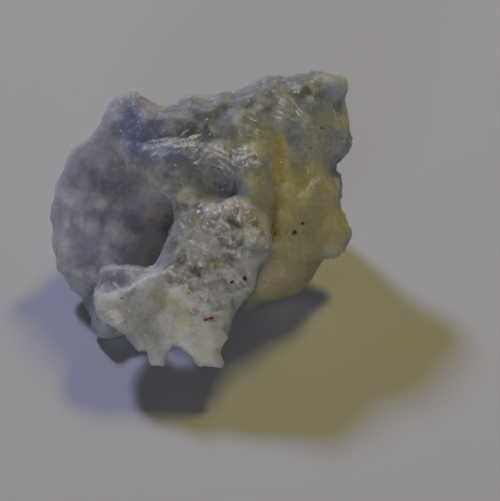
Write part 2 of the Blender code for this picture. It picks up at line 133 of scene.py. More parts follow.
def in_view(points):
    """How far the points lie to the right, up and towards the camera in the view, one column each."""
    offset = points - np.array(AIM)
    near = offset @ np.array(TOWARDS)
    spread = 1 - near / CAMERA_DISTANCE
    return np.stack([offset @ np.array(RIGHT) / spread, offset @ np.array(UP) / spread, near], axis=1)


print("tooth tip, mm:", seen(-3.0, -9.4).round(1))

# %% [markdown]
# ## An even fine mesh
# The solid is made of small flat faces, and a sculptor would start from an even fine mesh instead.
# Subdivision alone keeps the long thin faces. So the solid is rounded with one subdivision, remade with a
# voxel remesh, and smoothed. After that it holds detail down to about a third of a millimetre, and stays
# under 200,000 triangles.

# %% Remesh
VOXEL = 0.165

def with_modifier(piece, kind, **settings):
    """Applies one modifier to the piece's mesh."""
    modifier = piece.modifiers.new(kind.lower(), kind)
    for setting, value in settings.items():
        setattr(modifier, setting, value)
    graph = bpy.context.evaluated_depsgraph_get()
    mesh = bpy.data.meshes.new_from_object(piece.evaluated_get(graph))
    piece.modifiers.clear()
    old = piece.data
    piece.data = mesh
    bpy.data.meshes.remove(old)


with_modifier(stone, "SUBSURF", levels=1, render_levels=1)
with_modifier(stone, "REMESH", mode="VOXEL", voxel_size=VOXEL)
with_modifier(stone, "SMOOTH", factor=0.5, iterations=6)
print("fine mesh:", 2 * len(stone.data.polygons), "triangles")

# %% Points of a mesh
def rows_of(piece, what):
    """Where each point of the mesh lies ("co") or faces ("normal"), one row each."""
    rows = np.empty(len(piece.data.vertices) * 3, np.float32)
    piece.data.vertices.foreach_get(what, rows)
    return rows.reshape(-1, 3).astype(float)


def move_points(piece, points):
    piece.data.vertices.foreach_set("co", points.astype(np.float32).ravel())
    piece.data.update()


def eased(share):
    """The share, kept from 0 to 1, with a soft start and a soft end."""
    share = np.clip(share, 0, 1)
    return share * share * (3 - 2 * share)

# %% [markdown]
# ## Soft nudges
# The real outline has notches, torn edges and sharp corners that the solid is too coarse for. They could
# be sculpted with a grab brush. Each nudge here is one such stroke written down, so that it can be read
# and repeated: the points near a place are dragged a little, and the drag fades out towards its edge.

# %% Nudge the outline, the teeth and the hollow
NUDGES = [
    # The outline: the left lobe's slope, two notches on the right and the hollow's left side
    (-10.9, 12.7, 1.8, 0.25, -0.3, 0.0), (7.6, 12.2, 1.6, -0.3, 0.0, 0.0), (8.1, 1.7, 1.8, -0.5, 0.1, 0.0),
    (-16.2, 2.9, 2.8, 0.3, 0.0, 0.0),
    # Corners of the teeth and the notch between them
    (-8.1, -9.3, 0.9, -0.25, -0.35, 0.0), (-7.3, -9.4, 0.8, 0.15, -0.3, 0.0),
    (-8.9, -8.9, 0.8, 0.0, 0.35, 0.0), (-6.2, -8.3, 0.8, 0.0, 0.3, 0.0), (-4.4, -9.4, 0.8, -0.1, -0.3, 0.0),
    (-2.6, -9.6, 0.7, 0.3, -0.25, 0.0),
    # The jagged right edge of the right tooth
    (-2.4, -8.3, 0.6, -0.35, 0.0, 0.0), (-2.2, -7.4, 0.5, 0.25, 0.0, 0.0), (-1.9, -6.6, 0.5, -0.3, 0.0, 0.0),
    # Soft bumps in the hollow
    (-14.7, 4.6, 1.1, 0.0, 0.0, 0.2), (-12.3, 4.1, 1.1, 0.0, 0.0, 0.25), (-11.0, 3.7, 0.9, 0.0, 0.0, 0.2),
    (-13.2, 2.1, 1.1, 0.0, 0.0, 0.25), (-10.9, 1.9, 1.0, 0.0, 0.0, 0.25), (-12.2, 0.9, 0.9, 0.0, 0.0, 0.2),
    (-9.6, -0.5, 1.1, 0.0, 0.0, 0.3), (-11.6, -0.9, 0.9, 0.0, 0.0, 0.2), (-13.4, -1.7, 1.0, 0.0, 0.0, 0.2),
    (-9.0, 0.5, 0.7, 0.0, 0.0, 0.22), (-8.2, -0.3, 0.7, 0.0, 0.0, 0.2), (-10.2, 0.5, 0.7, 0.0, 0.0, 0.2),
]

def nudge(piece, moves):
    """Drags soft spots of the surface. A move is a place, a radius and a way: right, up and nearer."""
    points = rows_of(piece, "co")
    for right, up, radius, *way in moves:
        reach = np.linalg.norm(points - seen(right, up), axis=1)
        share = eased(1.3 * (1 - reach / radius))
        points += share[:, None] * np.array(RIGHT * way[0] + UP * way[1] + TOWARDS * way[2])
    move_points(piece, points)


nudge(stone, NUDGES)
print("nudged", len(NUDGES), "spots")

# %% [markdown]
# ## The pit
# Under the arm the stone has a smooth oval pit, deepest on its right. A Boolean with a ball would leave a
# hard edge. So the points inside the oval are moved onto a shallow bowl that starts level with the pit's
# rim.

# %% Press the pit
DISH_REACH = 4.0

def press_dish(piece, right, up, half_width, half_height, depth, lean):
    """Gives an oval place the form of a dish. The larger the lean, the further right its deepest point."""
    points = rows_of(piece, "co")
    placed = in_view(points)
    turns = np.linspace(0, math.tau, 12, endpoint=False)
    rim = in_view(np.array([seen(right + half_width * math.cos(turn), up + half_height * math.sin(turn))
                            for turn in turns]))
    plane = np.linalg.lstsq(np.c_[rim[:, :2], np.ones(len(rim))], rim[:, 2], rcond=None)[0]
    level = np.c_[placed[:, :2], np.ones(len(points))] @ plane
    across, along = (placed[:, 0] - right) / half_width, (placed[:, 1] - up) / half_height
    reach = across ** 2 + along ** 2
    faces_view = rows_of(piece, "normal") @ np.array(TOWARDS) > -0.3
    inside = (reach < 1) & (np.abs(placed[:, 2] - level) < DISH_REACH) & faces_view
    target = level - depth * (1 - reach) * (1 + lean * across)
    share = np.where(inside, eased(3 * (1 - reach)), 0)
    move_points(piece, points + (share * (target - placed[:, 2]))[:, None] * np.array(TOWARDS))
    print("pit:", inside.sum(), "points moved")


press_dish(stone, right=-3.2, up=5.75, half_width=2.1, half_height=1.8, depth=0.48, lean=0.9)

# %% [markdown]
# ## Rims and veins
# Thin rims run round the pit, the ledge and the scallops of the ridge, and fine white veins, which are
# healed cracks and the edges of small breaks, stand up a hair's breadth. They could be painted as bump,
# but a bump has no edge against the light. So the surface is raised along listed lines. A line belongs
# to the stone's near side only, and so skips points that lie much deeper in the view.

# %% How near a line
LINE_DEPTH = 1.3

def near_line(points, line):
    """How far each point is from the line in the view, and the nearest place of the line on the stone."""
    placed = in_view(points)
    ends = [seen(*place) for place in line]
    reach = np.full(len(points), np.inf)
    nearest = np.zeros_like(points)
    for start, end in zip(ends, ends[1:]):
        from_view, to_view = in_view(np.stack([start, end]))
        along = to_view - from_view
        share = np.clip((placed - from_view)[:, :2] @ along[:2] / (along[:2] @ along[:2]), 0, 1)
        offset = placed - from_view - share[:, None] * along
        too_deep = np.where(np.abs(offset[:, 2]) < LINE_DEPTH, 0, np.inf)
        far = np.linalg.norm(offset[:, :2], axis=1) + too_deep
        closer = far < reach
        reach[closer] = far[closer]
        nearest[closer] = (start + share[:, None] * (end - start))[closer]
    return reach, nearest

# %% Rims: a height, a half width and a line
RIMS = [
    # The pit's rim, the overhang's rim and the crest under the pit
    (0.30, 0.42, [(-3.7, 7.6), (-3.0, 7.3), (-2.3, 7.0), (-1.7, 6.5), (-1.25, 6.1), (-1.2, 5.5)]),
    (0.20, 0.50, [(-10.7, 8.0), (-9.7, 7.4), (-8.9, 6.6), (-8.0, 5.9), (-7.2, 5.3), (-6.8, 4.8)]),
    (0.18, 0.45, [(-4.2, 3.0), (-3.4, 3.5), (-2.8, 4.0), (-2.0, 4.3), (-1.3, 4.5), (-0.6, 4.0), (-0.2, 3.5)]),
    # The plate's curved crest, and its white cracks
    (0.10, 0.50, [(-7.8, -2.0), (-8.6, -2.1), (-9.3, -2.5), (-9.9, -3.0), (-10.5, -3.4), (-11.4, -3.7),
                  (-12.3, -3.9)]),
    (0.12, 0.35, [(-5.3, -4.1), (-4.6, -4.4), (-4.0, -4.8), (-3.5, -5.1)]),
    (0.12, 0.35, [(-4.6, -3.6), (-3.9, -3.8), (-3.7, -4.4), (-3.5, -5.0)]),
    # Scallops of the crumpled ridge
    (0.16, 0.40, [(-0.4, 2.8), (-0.5, 2.0), (-0.3, 1.4), (0.0, 1.0), (0.4, 0.75)]),
    (0.16, 0.40, [(0.2, 1.1), (0.6, 1.6), (0.95, 2.1)]),
    (0.16, 0.40, [(-2.9, 3.1), (-2.7, 2.5), (-2.2, 2.3), (-1.7, 2.1)]),
    (0.14, 0.40, [(-4.5, 0.9), (-3.9, 0.5), (-3.4, 0.1), (-2.6, 0.0), (-1.6, 0.0), (-0.8, -0.3)]),
]

# %% Veins and glints: a strength, a half width and a line; their white is partly painted highlight
VEINS_AND_GLINTS = [
    # The crest under the pit
    (0.45, 0.20, [(-2.8, 3.8), (-2.4, 4.1), (-2.0, 4.25), (-1.4, 4.35), (-0.7, 4.15), (-0.2, 3.8),
                  (0.3, 3.5)]),
    # The upper ridge
    (1.00, 0.18, [(-4.2, 2.8), (-3.85, 2.95), (-3.55, 3.15)]), (0.80, 0.15, [(-4.0, 2.05), (-3.75, 1.85)]),
    (0.80, 0.15, [(-3.3, 2.4), (-3.1, 2.5)]), (0.90, 0.15, [(-2.7, 2.05), (-2.5, 2.1)]),
    (1.00, 0.20, [(-2.25, 2.4), (-2.0, 2.2), (-1.75, 2.0)]), (0.70, 0.18, [(-5.8, 2.25), (-5.7, 2.05)]),
    (0.40, 0.20, [(-3.55, 1.9), (-3.15, 1.7), (-2.8, 1.55), (-2.5, 1.7)]),
    (0.50, 0.22, [(-3.35, 0.4), (-3.3, 0.7), (-3.1, 1.0), (-2.6, 1.15), (-2.1, 1.4), (-1.75, 1.35)]),
    # Its bright fan on the right
    (1.00, 0.20, [(-0.35, 1.7), (-0.2, 1.3), (0.0, 1.0), (0.35, 0.8)]),
    (0.90, 0.18, [(0.35, 0.8), (0.45, 1.3), (0.7, 1.7), (0.95, 2.15)]),
    (0.80, 0.15, [(-0.3, 1.1), (0.2, 0.95)]), (0.60, 0.18, [(0.3, 1.2), (0.8, 1.6), (1.25, 2.35)]),
    (0.40, 0.18, [(-0.75, 3.4), (-0.5, 2.65), (-0.3, 1.7)]),
    # The middle of the ridge
    (0.90, 0.16, [(-5.2, 0.85), (-4.75, 0.75)]), (0.90, 0.18, [(-4.35, 0.55), (-3.85, 0.5), (-3.45, 0.25)]),
    (0.80, 0.18, [(-4.2, 0.3), (-3.55, 0.1)]),
    (0.50, 0.18, [(-2.05, 0.0), (-1.65, -0.3), (-1.35, -0.35), (-0.85, -0.1)]),
    (0.85, 0.25, [(-2.4, -1.2), (-2.0, -1.4), (-1.55, -1.6), (-1.25, -1.7)]),
    (0.70, 0.20, [(-2.1, -1.6), (-1.75, -2.05)]), (0.80, 0.18, [(-7.0, -1.6), (-6.75, -1.85), (-6.45, -2.0)]),
    (0.80, 0.20, [(-0.75, -2.55), (-0.4, -2.85), (-0.1, -3.25)]),
    (0.40, 0.22, [(-5.2, 0.15), (-5.25, -0.5), (-5.1, -1.0)]), (0.50, 0.20, [(-4.85, -0.45), (-4.5, -0.55)]),
    (0.35, 0.16, [(1.5, 0.6), (1.4, -0.35), (1.0, -1.0), (0.6, -1.6), (0.4, -2.5), (0.2, -3.3)]),
    # The white cracks at the plate's top
    (1.00, 0.28, [(-5.5, -2.55), (-5.4, -3.1), (-5.1, -3.7), (-4.4, -4.2), (-3.85, -4.7)]),
    (1.00, 0.28, [(-4.8, -3.7), (-4.3, -3.6), (-3.85, -3.9), (-3.7, -4.5), (-3.45, -4.95)]),
    (0.70, 0.18, [(-5.2, -2.6), (-4.95, -2.4), (-4.5, -2.3)]),
    (0.90, 0.26, [(-6.2, -3.3), (-5.7, -3.15), (-5.4, -3.4), (-5.0, -3.9), (-4.9, -4.3)]),
    (0.60, 0.18, [(-3.75, -2.35), (-3.65, -3.05), (-3.55, -3.7), (-3.75, -4.2)]),
    (1.00, 0.30, [(-4.75, -5.75), (-3.75, -5.4), (-2.4, -5.3)]), (0.70, 0.16, [(-4.6, -6.0), (-3.9, -5.75)]),
    # The plate's crest, the ledge's edge and the white corner
    (0.55, 0.22, [(-13.0, -3.85), (-12.1, -3.8), (-11.1, -3.5), (-10.2, -3.25), (-9.5, -2.75), (-8.8, -2.35),
                  (-7.8, -2.0), (-7.2, -1.85)]),
    (0.50, 0.16, [(-11.55, -2.85), (-11.05, -3.35)]),
    (0.50, 0.16, [(-12.7, -1.4), (-11.4, -1.45), (-9.7, -1.55), (-8.2, -1.65)]),
    (0.80, 0.40, [(-11.9, -5.1), (-11.4, -5.6)]), (0.90, 0.20, [(-11.4, -6.2), (-10.6, -5.8)]),
    (0.40, 0.16, [(-9.0, -7.1), (-8.5, -7.4)]),
    # The arm over the hollow
    (0.80, 0.17, [(-8.1, 8.8), (-7.4, 9.0), (-6.2, 8.85), (-4.9, 8.95), (-4.2, 8.9)]),
    (0.70, 0.16, [(-7.9, 9.25), (-7.0, 9.5), (-6.0, 9.35), (-5.1, 9.4)]),
    (0.60, 0.14, [(-7.0, 9.2), (-6.2, 9.15), (-5.4, 9.1), (-4.6, 9.15)]),
    (1.00, 0.20, [(-3.4, 8.9), (-2.8, 8.7), (-2.3, 8.5), (-1.9, 8.15)]),
    (0.80, 0.20, [(-3.0, 8.25), (-2.5, 8.05), (-2.0, 7.95)]),
    (1.00, 0.20, [(-1.6, 7.5), (-0.95, 7.75), (-0.2, 8.05), (0.55, 8.4)]),
    (0.90, 0.20, [(-0.2, 7.55), (0.55, 7.5), (0.95, 7.4)]),
    (0.55, 0.22, [(-4.0, 8.7), (-3.0, 7.95), (-2.1, 7.2), (-1.4, 6.6)]),
    (0.35, 0.30, [(-5.1, 8.0), (-4.2, 8.2), (-3.4, 8.0)]),
    # The flank's crest, its white a painted highlight
    (0.70, 0.22, [(4.2, 4.6), (4.8, 5.1), (5.4, 5.7), (5.9, 6.2)]), (0.50, 0.20, [(4.6, 4.4), (5.3, 5.0)]),
]

# %% Raise them
VEIN_HEIGHT = 0.05

def raise_rims(piece, rims):
    """Raises the surface along lines, to a sharp crest."""
    points, normals = rows_of(piece, "co"), rows_of(piece, "normal")
    lift = np.zeros(len(points))
    for height, half_width, line in rims:
        lift += height * np.clip(1 - near_line(points, line)[0] / half_width, 0, 1)
    move_points(piece, points + normals * lift[:, None])
    print("raised by up to", lift.max().round(2), "mm")


raise_rims(stone, RIMS + [(VEIN_HEIGHT * strength, half_width, line) for strength, half_width, line in VEINS_AND_GLINTS])

# %% [markdown]
# ## Flashing facets
# Small flat breaks on the real stone flash white, because they lie at just the slope that sends a light
# behind the stone into the camera. A random relief hits that slope only by luck. So the two ways to the
# lights are set first, and each facet is turned to the slope half way between a light and the camera.

# %% The ways to the lights
def way_to(azimuth, elevation):
    """The way to a light. Azimuth 0 is straight behind the stone, and grows to the right."""
    turn, lift = math.radians(azimuth), math.radians(elevation)
    return Vector((math.sin(turn) * math.cos(lift), math.cos(turn) * math.cos(lift), math.sin(lift)))


COOL_WAY = way_to(-30, 37)
WARM_WAY = way_to(29, 45)

# %% Facets: a light, a half width and a line
FACETS = [
    # Over the hollow and the pit
    (COOL_WAY, 0.22, [(-8.1, 8.8), (-7.6, 9.05)]),
    (COOL_WAY, 0.20, [(-6.5, 9.05), (-5.8, 9.0)]),
    (COOL_WAY, 0.20, [(-2.9, 8.85), (-2.3, 8.75)]),
    (COOL_WAY, 0.20, [(-2.4, 8.05), (-2.0, 8.1)]),
    (COOL_WAY, 0.12, [(-1.1, 7.6), (-0.4, 7.8), (0.2, 8.15)]),
    # The crumpled ridge
    (COOL_WAY, 0.16, [(-4.2, 2.8), (-3.5, 3.2)]),
    (COOL_WAY, 0.22, [(-2.1, 2.45), (-1.7, 2.15)]),
    (COOL_WAY, 0.20, [(-4.1, 1.95), (-3.8, 2.0)]),
    (COOL_WAY, 0.20, [(-4.7, 1.4), (-4.6, 1.5)]),
    (WARM_WAY, 0.25, [(-0.3, 1.6), (-0.1, 1.1), (0.35, 0.8)]),
    (WARM_WAY, 0.22, [(0.3, 1.3), (0.6, 1.7), (0.9, 2.0)]),
    (COOL_WAY, 0.25, [(-4.1, 0.5), (-3.5, 0.15)]),
    (COOL_WAY, 0.20, [(-6.2, -0.2), (-6.1, -0.2)]),
    (COOL_WAY, 0.25, [(-2.2, -1.35), (-1.6, -1.6), (-1.1, -1.45)]),
    (COOL_WAY, 0.22, [(-5.4, -2.55), (-4.8, -2.3)]),
    (WARM_WAY, 0.22, [(-0.8, -2.8), (-0.2, -3.2)]),
    # The plate
    (COOL_WAY, 0.22, [(-5.2, -4.1), (-4.5, -4.4), (-3.9, -4.8)]),
    (COOL_WAY, 0.22, [(-3.9, -5.3), (-3.2, -5.35), (-2.4, -5.3)]),
    (COOL_WAY, 0.25, [(-11.7, -5.9), (-11.3, -5.7), (-11.0, -5.5)]),
]

# %% Turn them
MOST_MOVE = 0.35

def turn_facets(piece, facets):
    """Turns small spots to the slope that flashes, and returns how much each point belongs to one."""
    points = rows_of(piece, "co")
    flashing = np.zeros(len(points))
    for way, half_width, line in facets:
        slope = np.array((way + TOWARDS).normalized())
        reach, nearest = near_line(points, line)
        share = eased(2 * (1 - reach / half_width))
        off = (points - nearest) @ slope
        points -= (share * np.clip(off, -MOST_MOVE, MOST_MOVE))[:, None] * slope
        flashing = np.maximum(flashing, share)
    move_points(piece, points)
    return flashing


flashing = turn_facets(stone, FACETS)
print("set", len(RIMS), "rims,", len(VEINS_AND_GLINTS), "veins and", len(FACETS), "facets")

# %% [markdown]
# ## Kinds of surface
# The stone has four kinds of surface: crumpled glassy breaks, a smooth milky plate and flank, the soft
# hollow, and the frosted lumpy skin everywhere else. They could be painted by hand as weights. Balls at
# places of the view are used instead, with a slow random drift that gives each kind a natural edge. Each
# share is kept on the points, for the relief and the material to read.

# %% Shares of the surface
DRIFT_SEED = 5

def wander(points, width, reach):
    """The points shifted by a slow random drift, so that a mask that is read off them gets a natural edge."""
    noise.seed_set(DRIFT_SEED)
    drift = [noise.noise_vector(Vector(point) / width) for point in points]
    return points + reach * np.array(drift)


def in_balls(points, balls):
    """1 in the middle of any ball, fading to 0 at its edge. A ball is a place in the view and a radius."""
    amount = np.zeros(len(points))
    for right, up, radius in balls:
        reach = np.linalg.norm(points - seen(right, up), axis=1)
        amount = np.maximum(amount, eased(2 * (1 - reach / radius)))
    return amount


def keep_share(piece, name, values):
    """Stores one number for each point."""
    attribute = piece.data.attributes.new(name, "FLOAT", "POINT")
    attribute.data.foreach_set("value", values.astype(np.float32))

# %% Where the kinds lie
CRUMPLED = [(-2.2, 2.4, 3.4), (-4.0, 0.2, 3.6), (-1.6, -1.6, 3.4), (0.2, 1.5, 2.8), (-5.6, -1.6, 2.8),
            (-2.6, -3.6, 3.0), (-0.4, -3.4, 2.6), (-0.6, 8.0, 1.8), (-5.2, 2.6, 2.1)]
PLATE = [(-8.5, -5.0, 4.2), (-11.3, -5.0, 3.0), (-6.0, -6.6, 4.0), (-3.4, -7.6, 3.8), (-7.8, -8.4, 3.0)]
FLANK = [(4.0, 4.0, 4.2), (3.6, 0.6, 4.2), (5.5, 6.8, 3.2), (6.2, 2.0, 3.2), (3.0, -2.2, 3.4),
         (4.2, 8.2, 2.6)]
HOLLOW = [(-12.5, 4.0, 5.5), (-13.0, 0.5, 5.0), (-9.5, 2.5, 5.0), (-13.0, 7.5, 4.5), (-2.2, 5.8, 2.8)]
STILL_FROSTED = 0.15

wandered = wander(rows_of(stone, "co"), width=1.4, reach=1.6)
crumpled = in_balls(wandered, CRUMPLED)
plate = in_balls(wandered, PLATE) * (1 - crumpled)
smooth = np.maximum(plate, in_balls(wandered, FLANK)) * (1 - crumpled)
hollow = in_balls(wandered, HOLLOW) * (1 - crumpled)
frosted = np.clip(1 - crumpled - (1 - STILL_FROSTED) * (smooth + hollow), 0, 1)
print("share crumpled, smooth, hollow, frosted:",
      [float(share.mean().round(2)) for share in (crumpled, smooth, hollow, frosted)])

# %% [markdown]
# Hairlines, white cracks that also stand in for painted glints, cross the broken spots in two directions,
# so each direction has balls of its own. The skin is calm where it faces the photograph's camera and
# lumpier where it turns away, as on the photograph's skyline. The relief fades out near the floor, so that
# the small flat spot stays flat.

# %% Hairlines, skyline and foot
RISING = [(-7.6, 8.9, 1.5), (-6.0, 9.3, 1.4), (-4.8, 8.9, 1.2), (-5.0, 7.9, 0.9), (-3.8, 3.0, 1.0),
          (0.6, 1.5, 1.3), (0.3, 2.4, 1.1), (-5.1, -2.4, 0.9), (5.1, 5.5, 1.7), (5.9, 6.2, 1.2),
          (-2.6, 8.5, 1.1), (-12.0, -4.9, 1.0), (-0.4, 7.6, 1.1), (0.6, 7.6, 1.0), (-11.5, -5.5, 0.9)]
FALLING = [(-4.7, -4.0, 1.3), (-3.9, -4.2, 1.2), (-3.8, 0.4, 0.9), (-0.1, 1.1, 0.9), (-1.8, -1.5, 1.0),
           (-2.2, 1.9, 0.9), (-0.5, -3.0, 0.8), (-1.2, 7.6, 1.0), (-2.3, 8.1, 0.9), (-0.6, 10.4, 1.3),
           (-11.4, -5.6, 1.0), (2.9, 12.0, 1.3)]
CALM_SKIN, MORE_BEHIND = 0.55, 1.25
FOOT_HEIGHT = 1.2

points = rows_of(stone, "co")
rising, falling = in_balls(wandered, RISING), in_balls(wandered, FALLING)
turned_away = eased(0.9 - rows_of(stone, "normal") @ np.array(TOWARDS))
foot = eased(points[:, 2] / FOOT_HEIGHT)
# The white of the veins: partly white cracks, partly painted highlights
veins_and_painted_glints = np.zeros(len(points))
for strength, half_width, line in VEINS_AND_GLINTS:
    veins_and_painted_glints = np.maximum(veins_and_painted_glints, strength * eased(1.2 * (1 - near_line(points, line)[0] / half_width)))
shares = {
    "crumpled": crumpled, "milky": np.maximum(plate, 0.5 * hollow), "veins_and_painted_glints": veins_and_painted_glints, "flashing": flashing,
    "frosted": frosted * (CALM_SKIN + MORE_BEHIND * turned_away), "rising": rising, "falling": falling,
    "shattered": np.maximum(rising, falling) * np.maximum(crumpled, 0.2), "carvable": foot * (1 - flashing),
}
for name, values in shares.items():
    keep_share(stone, name, values)
    print(name, values.mean().round(3))

# %% [markdown]
# ## Nodes
# The relief and the material are both trees of nodes. One helper adds any node, with its settings and its
# links, and gives back one of its outputs. A pattern that is drawn on plain coordinates looks stamped, so
# a second helper moves the coordinates about first.

# %% Helpers for nodes
MATH, VECTOR, MIX, RANGE = "ShaderNodeMath", "ShaderNodeVectorMath", "ShaderNodeMix", "ShaderNodeMapRange"
NOISE, VORONOI = "ShaderNodeTexNoise", "ShaderNodeTexVoronoi"

def add(tree, kind, links=None, out=0, **settings):
    """Adds a node and gives one of its outputs, or all of them with out=None.

    Links sets its sockets, each to a value or to another socket.
    """
    made = tree.nodes.new(kind)
    for name, value in settings.items():
        setattr(made, name, value)
    for name, value in (links or {}).items():
        if isinstance(value, bpy.types.NodeSocket):
            tree.links.new(value, made.inputs[name])
        else:
            made.inputs[name].default_value = value
    return made.outputs if out is None else made.outputs[out]


def shifted(tree, place, fineness, detail, reach):
    """The place, moved about by noise, so that what is drawn on it gets a natural edge."""
    swirl = add(tree, NOISE, {"Vector": place, "Scale": fineness, "Detail": detail}, out="Color")
    centred = add(tree, VECTOR, {0: swirl, 1: (0.5, 0.5, 0.5)}, operation="SUBTRACT")
    drift = add(tree, VECTOR, {0: centred, "Scale": reach}, operation="SCALE")
    return add(tree, VECTOR, {0: place, 1: drift}, operation="ADD")

# %% [markdown]
# ## The relief
# Two rules make the broken surface. Glassy breaks are small flat chips, each tilted its own way: every
# cell of a Voronoi pattern gets a random slope. The frosted skin has soft swells about 2 mm wide with
# grain between half and one millimetre on them: two waves of noise. Sculpting would take hours and
# couldn't be changed. Both follow the whole surface, so they are one Geometry Nodes tree that moves each
# point along its normal. Its sizes are named inputs in millimetres, and its seed moves the pattern.

# %% Chips and waves
def tilted_chips(tree, place, width, slope):
    """The height of flat chips, each tilted its own way."""
    fineness = add(tree, MATH, {0: 1.0, 1: width}, operation="DIVIDE")
    chip = add(tree, VORONOI, {"Vector": place, "Scale": fineness}, out=None)
    local = add(tree, VECTOR, {0: place, 1: chip["Position"]}, operation="SUBTRACT")
    tilt = add(tree, VECTOR, {0: chip["Color"], 1: (0.5, 0.5, 0.5)}, operation="SUBTRACT")
    rise = add(tree, VECTOR, {0: local, 1: tilt}, out="Value", operation="DOT_PRODUCT")
    return add(tree, MATH, {0: rise, 1: slope}, operation="MULTIPLY")


def soft_waves(tree, place, width, height):
    """Soft noise of that width and height, on both sides of zero."""
    fineness = add(tree, MATH, {0: 1.0, 1: width}, operation="DIVIDE")
    swell = add(tree, NOISE, {"Vector": place, "Scale": fineness, "Detail": 2.0})
    centred = add(tree, MATH, {0: swell, 1: 0.5}, operation="SUBTRACT")
    return add(tree, MATH, {0: centred, 1: height}, operation="MULTIPLY")

# %% The inputs of the relief
RELIEF_SIZES = {
    "Chip width": 1.8, "Chip slope": 0.20, "Small chip width": 0.85, "Small chip slope": 0.22,
    "Swell width": 2.0, "Swell height": 0.5, "Grain width": 0.6, "Grain height": 0.34, "Warp": 0.4,
}
RELIEF_SEED = 5

def relief_inputs(tree):
    """Gives the tree its named inputs and its output."""
    face = tree.interface
    face.new_socket("Geometry", in_out="INPUT", socket_type="NodeSocketGeometry")
    for name, size in RELIEF_SIZES.items():
        face.new_socket(name, in_out="INPUT", socket_type="NodeSocketFloat").default_value = size
    face.new_socket("Seed", in_out="INPUT", socket_type="NodeSocketInt").default_value = RELIEF_SEED
    face.new_socket("Material", in_out="INPUT", socket_type="NodeSocketMaterial")
    face.new_socket("Geometry", in_out="OUTPUT", socket_type="NodeSocketGeometry")

# %% The height of the relief
WARP_GAIN = 6.0
RIDGE_SWELL = 0.34
LEAST_GRAIN = 0.18

def relief_height(tree, given, share):
    """How far each point is moved: chips where the stone is broken, swells and grain on its skin."""
    place = add(tree, "GeometryNodeInputPosition")
    moved = add(tree, VECTOR, {0: place, 1: given["Seed"]}, operation="ADD")
    push = add(tree, MATH, {0: given["Warp"], 1: WARP_GAIN}, operation="MULTIPLY")
    warped = shifted(tree, moved, fineness=0.7, detail=2.0, reach=push)
    swollen = add(tree, MATH, {0: share["crumpled"], 1: RIDGE_SWELL}, operation="MULTIPLY")
    swollen = add(tree, MATH, {0: swollen, 1: share["frosted"]}, operation="MAXIMUM")
    grainy = add(tree, MATH, {0: share["frosted"], 1: LEAST_GRAIN}, operation="MAXIMUM")
    parts = [
        (tilted_chips, "Chip width", "Chip slope", share["crumpled"]),
        (tilted_chips, "Small chip width", "Small chip slope", share["shattered"]),
        (soft_waves, "Swell width", "Swell height", swollen),
        (soft_waves, "Grain width", "Grain height", grainy),
    ]
    height = 0.0
    for pattern, width, size, amount in parts:
        part = pattern(tree, warped, given[width], given[size])
        height = add(tree, MATH, {0: part, 1: amount, 2: height}, operation="MULTIPLY_ADD")
    return add(tree, MATH, {0: height, 1: share["carvable"]}, operation="MULTIPLY")

# %% The relief tree
def relief_tree():
    """Moves each point along its normal, and stores by how much."""
    tree = bpy.data.node_groups.new("broken_surface", "GeometryNodeTree")
    relief_inputs(tree)
    given = add(tree, "NodeGroupInput", out=None)
    share = {name: add(tree, "GeometryNodeInputNamedAttribute", {"Name": name}, data_type="FLOAT")
             for name in ("crumpled", "frosted", "shattered", "carvable")}
    height = relief_height(tree, given, share)
    normal = add(tree, "GeometryNodeInputNormal")
    move = add(tree, VECTOR, {0: normal, "Scale": height}, operation="SCALE")
    carved = add(tree, "GeometryNodeSetPosition", {"Geometry": given["Geometry"], "Offset": move})
    marked = add(tree, "GeometryNodeStoreNamedAttribute",
                 {"Geometry": carved, "Name": "raised", "Value": height}, data_type="FLOAT", domain="POINT")
    real = add(tree, "GeometryNodeRealizeInstances", {"Geometry": marked})
    dressed = add(tree, "GeometryNodeSetMaterial", {"Geometry": real, "Material": given["Material"]})
    add(tree, "NodeGroupOutput", {"Geometry": dressed}, out=None)
    return tree

# %% [markdown]
# ## The colours
# The milky body is a cloudy blue grey, and its tint changes from place to place: violet in the hollow,
# blue on the arm, yellow on the flank with an orange seam, grey and white on the plate. The violet and
# the yellow are partly the cool and the warm light's colour, painted in, and some tints are painted light
# and shade: white on the hollow's bumps and in the pit as painted light, a darker grey band and grey
# hollows in the ridge as painted shade, and pale and white spots as painted glints. A painted picture
# would do, but would need a UV map without seams. Here each tint has balls at places of the view, with
# wavering edges, and later ones lie over earlier ones. Minerals and one red fibre are the same thing at
# the size of a speck.

# %% Tints: a colour, a strength and balls
def linear(code):
    """An sRGB hex colour as linear red, green, blue and alpha."""
    parts = [int(code[place:place + 2], 16) / 255 for place in (1, 3, 5)]
    return (*(p / 12.92 if p <= 0.04045 else ((p + 0.055) / 1.055) ** 2.4 for p in parts), 1.0)


